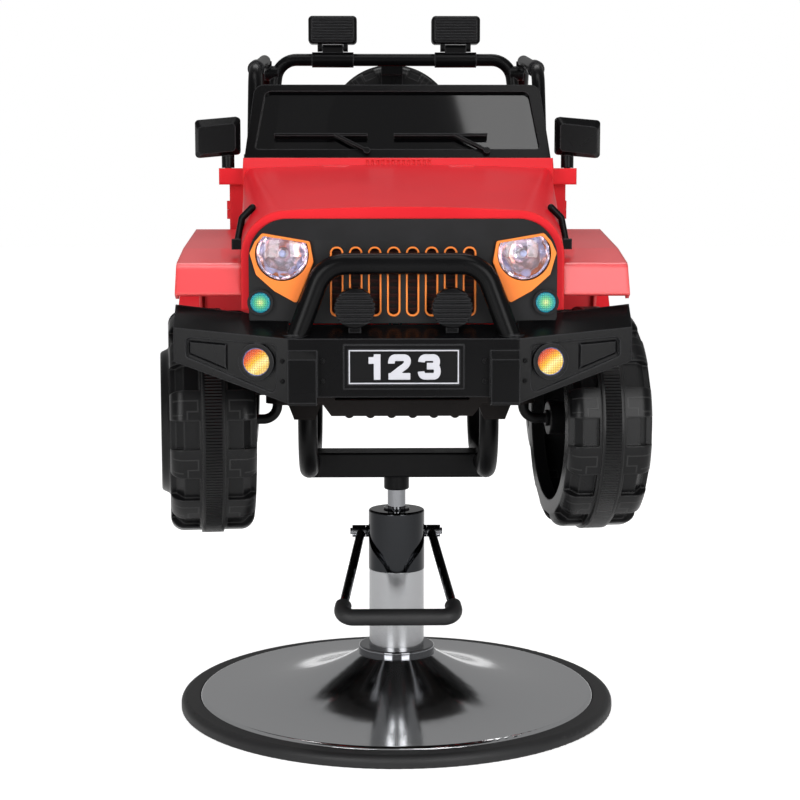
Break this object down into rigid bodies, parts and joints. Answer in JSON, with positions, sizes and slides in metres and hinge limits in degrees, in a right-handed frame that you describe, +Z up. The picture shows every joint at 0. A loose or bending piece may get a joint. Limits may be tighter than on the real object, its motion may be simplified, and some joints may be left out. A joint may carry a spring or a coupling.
{
  "type": "kids car barber chair",
  "caption": "Off-road toy car body with opening doors, steering and turning wheels, carried on a foot-pumped swivelling salon column with a dished round base, for cutting children's hair.",
  "frame": {"origin": "on the floor under the pump column, at the middle of the whole object's plan", "axes": "+Z up; the car's nose points along -Y; +X is on the right as seen from in front of the nose"},
  "size_m": [0.64, 1, 0.9601],
  "materials": {
    "chrome_steel": "polished",
    "base_rubber": "satin",
    "plated_steel": "satin",
    "cast_head": "polished",
    "grip_rubber": "satin",
    "black_coat": "satin",
    "black_plastic": "satin",
    "grey_plastic": "matte",
    "red_plastic": "gloss",
    "orange_plastic": "gloss",
    "reflector": "polished",
    "clear_lens": "clear",
    "teal_lens": "gloss",
    "amber_lens": "gloss",
    "plate_face": "gloss",
    "tinted_glass": "gloss",
    "wheel_plastic": "satin",
    "seat_leather": "satin",
    "tail_lens": "gloss"
  },
  "bodies": {
    "base": {"base_disc": "chrome_steel", "base_ring": "base_rubber", "base_collar": "chrome_steel", "base_bolts": "plated_steel", "pump_tube": "chrome_steel", "pump_cap": "cast_head", "pump_cylinder": "plated_steel"},
    "ram": {"piston_rod": "chrome_steel"},
    "car": {"rod_hub": "black_coat", "cross_beam": "black_coat", "cradle_tubes": "black_coat", "cradle_bolts": "plated_steel", "floor_pan": "grey_plastic", "hood": "red_plastic", "hood_latches": "black_plastic", "front_fenders": "red_plastic", "grille_panel": "black_plastic", "grille_insert": "orange_plastic", "grille_mesh": "black_plastic", "headlamp_bowls": "reflector", "headlamp_lenses": "clear_lens", "signal_lamps": "teal_lens", "front_bumper": "black_plastic", "number_plate": "plate_face", "fog_lamps": "amber_lens", "bull_bar": "black_plastic", "spot_lamps": "black_plastic", "screen_frame": "black_plastic", "screen_glass": "tinted_glass", "wipers": "black_plastic", "roll_cage": "black_plastic", "tub": "red_plastic", "dashboard": "black_plastic", "seat_shell": "black_plastic", "seat_cushion": "seat_leather", "back_cushion": "seat_leather", "tail_lamps": "tail_lens", "spare_carrier": "black_plastic", "spare_wheel": "wheel_plastic", "rear_axle": "plated_steel"},
    "foot_lever": {"pedal_lever": "chrome_steel", "pedal_grip": "grip_rubber"},
    "plunger": {"pump_plunger": "plated_steel"},
    "steering": {"steering_wheel": "black_plastic"},
    "horn": {"horn_button": "black_plastic"},
    "throttle": {"throttle_pedal": "black_plastic"},
    "steer_left": {"knuckle_left": "plated_steel"},
    "steer_right": {"knuckle_right": "plated_steel"},
    "track_bar": {"tie_rod": "plated_steel"},
    "roll_front_left": {"wheel_front_left": "wheel_plastic"},
    "roll_front_right": {"wheel_front_right": "wheel_plastic"},
    "roll_rear_left": {"wheel_rear_left": "wheel_plastic"},
    "roll_rear_right": {"wheel_rear_right": "wheel_plastic"},
    "side_door_left": {"door_left": "red_plastic"},
    "side_door_right": {"door_right": "red_plastic"},
    "wing_mirror_left": {"mirror_left": "black_plastic"},
    "wing_mirror_right": {"mirror_right": "black_plastic"},
    "top_lamp_left": {"roof_lamp_left": "black_plastic"},
    "top_lamp_right": {"roof_lamp_right": "black_plastic"}
  },
  "joints": [
    {"name": "lift", "type": "slide", "parent": "base", "child": "ram", "axis": [0, 0, 1], "range_m": [0, 0.15]},
    {"name": "swivel", "type": "hinge", "parent": "ram", "child": "car", "pos_m": [0, 0, 0.327], "axis": [0, 0, 1], "continuous": true},
    {"name": "foot_lever_hinge", "type": "hinge", "parent": "base", "child": "foot_lever", "pos_m": [0, 0.028, 0.237], "axis": [1, 0, 0], "range_deg": [0, 20], "stiffness_Nm_per_rad": 2.5, "springref_deg": -34.38},
    {"name": "plunger_slide", "type": "slide", "parent": "base", "child": "plunger", "axis": [0, 0, -1], "range_m": [0, 0.0012]},
    {"name": "steering_turn", "type": "hinge", "parent": "car", "child": "steering", "pos_m": [0, 0.022, 0.763], "axis": [0, 0.7547, 0.6561], "range_deg": [-60.6, 22.8]},
    {"name": "horn_push", "type": "slide", "parent": "steering", "child": "horn", "axis": [0, -0.7547, -0.6561], "range_m": [0, 0.003], "stiffness_N_per_m": 400, "springref_m": -0.002},
    {"name": "throttle_hinge", "type": "hinge", "parent": "car", "child": "throttle", "pos_m": [0.058, -0.092, 0.49], "axis": [1, 0, 0], "range_deg": [0, 12], "stiffness_Nm_per_rad": 1.5, "springref_deg": -22.92},
    {"name": "knuckle_left_turn", "type": "hinge", "parent": "car", "child": "steer_left", "pos_m": [-0.15, -0.28, 0.438], "axis": [0, 0, 1], "range_deg": [-20.3, 7.7]},
    {"name": "knuckle_right_turn", "type": "hinge", "parent": "car", "child": "steer_right", "pos_m": [0.15, -0.28, 0.438], "axis": [0, 0, 1], "range_deg": [-20.3, 7.7]},
    {"name": "track_bar_pivot", "type": "hinge", "parent": "steer_left", "child": "track_bar", "pos_m": [-0.15494, -0.23527, 0.535], "axis": [0, 0, 1], "range_deg": [-7.7, 20.3]},
    {"name": "front_left_spin", "type": "hinge", "parent": "steer_left", "child": "roll_front_left", "pos_m": [-0.23051, -0.28889, 0.438], "axis": [0.994, 0.1097, 0], "continuous": true},
    {"name": "front_right_spin", "type": "hinge", "parent": "steer_right", "child": "roll_front_right", "pos_m": [0.23051, -0.27111, 0.438], "axis": [0.994, 0.1097, 0], "continuous": true},
    {"name": "rear_left_spin", "type": "hinge", "parent": "car", "child": "roll_rear_left", "pos_m": [-0.26, 0.28, 0.438], "axis": [1, 0, 0], "continuous": true},
    {"name": "rear_right_spin", "type": "hinge", "parent": "car", "child": "roll_rear_right", "pos_m": [0.26, 0.28, 0.438], "axis": [1, 0, 0], "continuous": true},
    {"name": "door_left_hinge", "type": "hinge", "parent": "car", "child": "side_door_left", "pos_m": [-0.2225, -0.044, 0.632], "axis": [0, 0, 1], "range_deg": [0, 65]},
    {"name": "door_right_hinge", "type": "hinge", "parent": "car", "child": "side_door_right", "pos_m": [0.2225, -0.044, 0.632], "axis": [0, 0, -1], "range_deg": [0, 65]},
    {"name": "mirror_left_fold", "type": "hinge", "parent": "car", "child": "wing_mirror_left", "pos_m": [-0.219, -0.115, 0.742], "axis": [0, 0, 1], "range_deg": [-25, 25]},
    {"name": "mirror_right_fold", "type": "hinge", "parent": "car", "child": "wing_mirror_right", "pos_m": [0.219, -0.115, 0.742], "axis": [0, 0, 1], "range_deg": [-25, 25]},
    {"name": "roof_lamp_left_tilt", "type": "hinge", "parent": "car", "child": "top_lamp_left", "pos_m": [-0.089, 0.2, 0.9145], "axis": [1, 0, 0], "range_deg": [-20, 20]},
    {"name": "roof_lamp_right_tilt", "type": "hinge", "parent": "car", "child": "top_lamp_right", "pos_m": [0.089, 0.2, 0.9145], "axis": [1, 0, 0], "range_deg": [-20, 20]}
  ],
  "couplings": [
    {"joint": "plunger_slide", "follows": "foot_lever_hinge", "m_per_rad": 0.003},
    {"joint": "knuckle_left_turn", "follows": "steering_turn", "ratio": 0.33333},
    {"joint": "knuckle_right_turn", "follows": "steering_turn", "ratio": 0.33333},
    {"joint": "track_bar_pivot", "follows": "steering_turn", "ratio": -0.33333}
  ]
}
